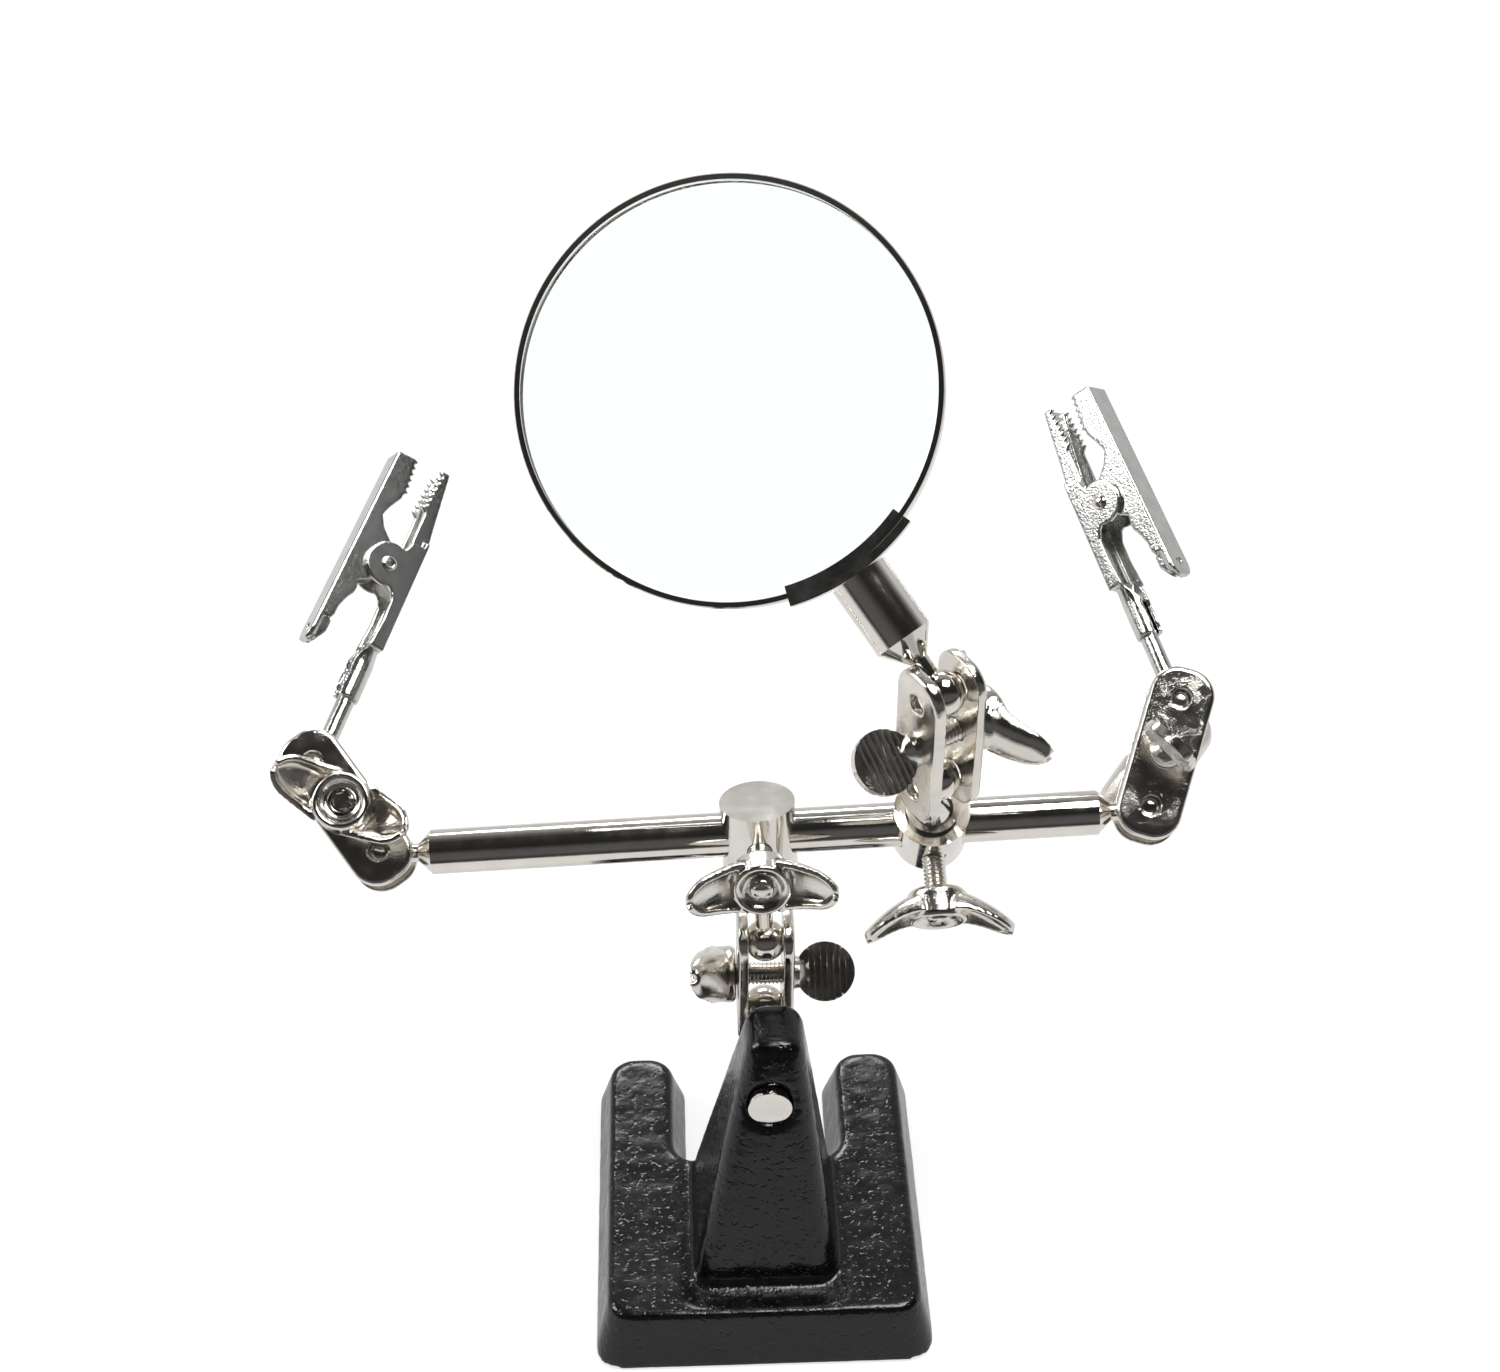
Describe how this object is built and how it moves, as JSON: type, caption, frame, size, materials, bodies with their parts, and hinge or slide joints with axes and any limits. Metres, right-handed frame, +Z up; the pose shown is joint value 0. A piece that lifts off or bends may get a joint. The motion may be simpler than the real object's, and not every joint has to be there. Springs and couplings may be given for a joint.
{
  "type": "helping hands clamp",
  "caption": "Weighted cast stand with a ball-jointed crossbar that holds alligator clips and a round magnifier over soldering work",
  "frame": {"origin": "middle of the foot's underside, on the surface it stands on", "axes": "+X along the crossbar to the right as the user sees it, +Y away from the user, +Z up"},
  "size_m": [0.1612, 0.1083, 0.1877],
  "materials": {
    "black_enamel": "glossy black enamel with an orange-peel skin over rough cast iron",
    "lens_glass": "clear polished glass",
    "holder_nickel": "dark bright nickel plate on bent sheet steel",
    "bright_steel": "bright steel",
    "clip_nickel": "bright nickel plate on thin stamped steel with a fine orange peel",
    "polished_nickel": "polished nickel plate on turned steel",
    "cast_nickel": "bright nickel plate over a lightly pebbled skin"
  },
  "bodies": {
    "foot": {"base_casting": "black_enamel", "mounting_ball_rod": "polished_nickel"},
    "post_clamp": {"post_clamp_plate_a": "cast_nickel", "post_clamp_plate_b": "cast_nickel", "post_clamp_thumb_screw": "cast_nickel"},
    "post_clamp_nut": {"post_clamp_wing_nut": "cast_nickel"},
    "post_block_body": {"post_block": "polished_nickel"},
    "post_block_screw": {"post_block_wing_screw": "cast_nickel"},
    "crossbar_body": {"crossbar": "polished_nickel"},
    "lens_block_body": {"lens_block": "polished_nickel"},
    "lens_block_screw": {"lens_block_wing_screw": "cast_nickel"},
    "lens_clamp": {"lens_clamp_plate_a": "cast_nickel", "lens_clamp_plate_b": "cast_nickel", "lens_clamp_thumb_screw": "cast_nickel"},
    "lens_clamp_nut": {"lens_clamp_wing_nut": "cast_nickel"},
    "magnifier": {"lens_ring": "polished_nickel", "magnifier_lens": "lens_glass", "lens_holder": "holder_nickel", "lens_ferrule": "polished_nickel"},
    "left_clamp": {"left_clamp_plate_a": "cast_nickel", "left_clamp_plate_b": "cast_nickel", "left_clamp_thumb_screw": "cast_nickel"},
    "left_clamp_nut": {"left_clamp_wing_nut": "cast_nickel"},
    "left_clip": {"left_clip_ball_stem": "clip_nickel", "left_clip_fixed_jaw": "clip_nickel", "left_clip_rivet": "bright_steel", "left_clip_torsion_spring": "bright_steel"},
    "left_clip_jaw": {"left_clip_moving_jaw": "clip_nickel"},
    "right_clamp": {"right_clamp_plate_a": "cast_nickel", "right_clamp_plate_b": "cast_nickel", "right_clamp_thumb_screw": "cast_nickel"},
    "right_clamp_nut": {"right_clamp_wing_nut": "cast_nickel"},
    "right_clip": {"right_clip_ball_stem": "clip_nickel", "right_clip_fixed_jaw": "clip_nickel", "right_clip_rivet": "bright_steel", "right_clip_torsion_spring": "bright_steel"},
    "right_clip_jaw": {"right_clip_moving_jaw": "clip_nickel"}
  },
  "joints": [
    {"name": "post_clamp_tilt", "type": "hinge", "parent": "foot", "child": "post_clamp", "pos_m": [0.0014, 0.0107, 0.0455], "axis": [1, 0, 0], "range_deg": [-50, 10]},
    {"name": "post_clamp_nut_turn", "type": "hinge", "parent": "post_clamp", "child": "post_clamp_nut", "pos_m": [0.0014, 0.00956, 0.05481], "axis": [1, 0, 0], "continuous": true},
    {"name": "post_block_tilt", "type": "hinge", "parent": "post_clamp", "child": "post_block_body", "pos_m": [0.0014, 0.00841, 0.06411], "axis": [1, 0, 0], "range_deg": [-25, 40]},
    {"name": "post_block_screw_turn", "type": "hinge", "parent": "post_block_body", "child": "post_block_screw", "pos_m": [0.00042, 0.01209, 0.08578], "axis": [0.0076, 0.986, -0.1668], "continuous": true},
    {"name": "crossbar_slide", "type": "slide", "parent": "post_block_body", "child": "crossbar_body", "axis": [0.999, 0, 0.0454], "range_m": [-0.007, 0.035]},
    {"name": "lens_block_slide", "type": "slide", "parent": "crossbar_body", "child": "lens_block_body", "axis": [0.999, 0, 0.0454], "range_m": [-0.005, 0.016]},
    {"name": "lens_block_screw_turn", "type": "hinge", "parent": "lens_block_body", "child": "lens_block_screw", "pos_m": [0.02909, 0.01209, 0.08708], "axis": [-0.022, 0.8744, 0.4847], "continuous": true},
    {"name": "lens_clamp_tilt", "type": "hinge", "parent": "lens_block_body", "child": "lens_clamp", "pos_m": [0.02821, 0.00141, 0.1063], "axis": [-0.8622, -0.5039, -0.0523], "range_deg": [-25, 25]},
    {"name": "lens_clamp_nut_turn", "type": "hinge", "parent": "lens_clamp", "child": "lens_clamp_nut", "pos_m": [0.0281, 0.00064, 0.11564], "axis": [-0.8622, -0.5039, -0.0523], "continuous": true},
    {"name": "magnifier_tilt", "type": "hinge", "parent": "lens_clamp", "child": "magnifier", "pos_m": [0.02799, -0.00014, 0.12498], "axis": [-0.8622, -0.5039, -0.0523], "range_deg": [-30, 30]},
    {"name": "left_clamp_tilt", "type": "hinge", "parent": "crossbar_body", "child": "left_clamp", "pos_m": [-0.06272, 0.01209, 0.08291], "axis": [0.0215, -0.6254, 0.78], "range_deg": [-40, 40]},
    {"name": "left_clamp_nut_turn", "type": "hinge", "parent": "left_clamp", "child": "left_clamp_nut", "pos_m": [-0.06815, 0.01797, 0.08778], "axis": [0.0215, -0.6254, 0.78], "continuous": true},
    {"name": "left_clip_tilt", "type": "hinge", "parent": "left_clamp", "child": "left_clip", "pos_m": [-0.07358, 0.02386, 0.09265], "axis": [0.0215, -0.6254, 0.78], "range_deg": [-35, 35]},
    {"name": "left_clip_squeeze", "type": "hinge", "parent": "left_clip", "child": "left_clip_jaw", "pos_m": [-0.06339, 0.05467, 0.11103], "axis": [0.4871, -0.5607, 0.6696], "range_deg": [-12, 12], "stiffness_Nm_per_rad": 0.05},
    {"name": "right_clamp_tilt", "type": "hinge", "parent": "crossbar_body", "child": "right_clamp", "pos_m": [0.06545, 0.01209, 0.08873], "axis": [-0.0809, -0.635, 0.7682], "range_deg": [-40, 40]},
    {"name": "right_clamp_nut_turn", "type": "hinge", "parent": "right_clamp", "child": "right_clamp_nut", "pos_m": [0.0685, 0.01876, 0.09457], "axis": [-0.0809, -0.635, 0.7682], "continuous": true},
    {"name": "right_clip_tilt", "type": "hinge", "parent": "right_clamp", "child": "right_clip", "pos_m": [0.07156, 0.02543, 0.1004], "axis": [-0.0809, -0.635, 0.7682], "range_deg": [-35, 35]},
    {"name": "right_clip_squeeze", "type": "hinge", "parent": "right_clip", "child": "right_clip_jaw", "pos_m": [0.06315, 0.0558, 0.12035], "axis": [0.7259, 0.5066, -0.4652], "range_deg": [-12, 12], "stiffness_Nm_per_rad": 0.05}
  ]
}
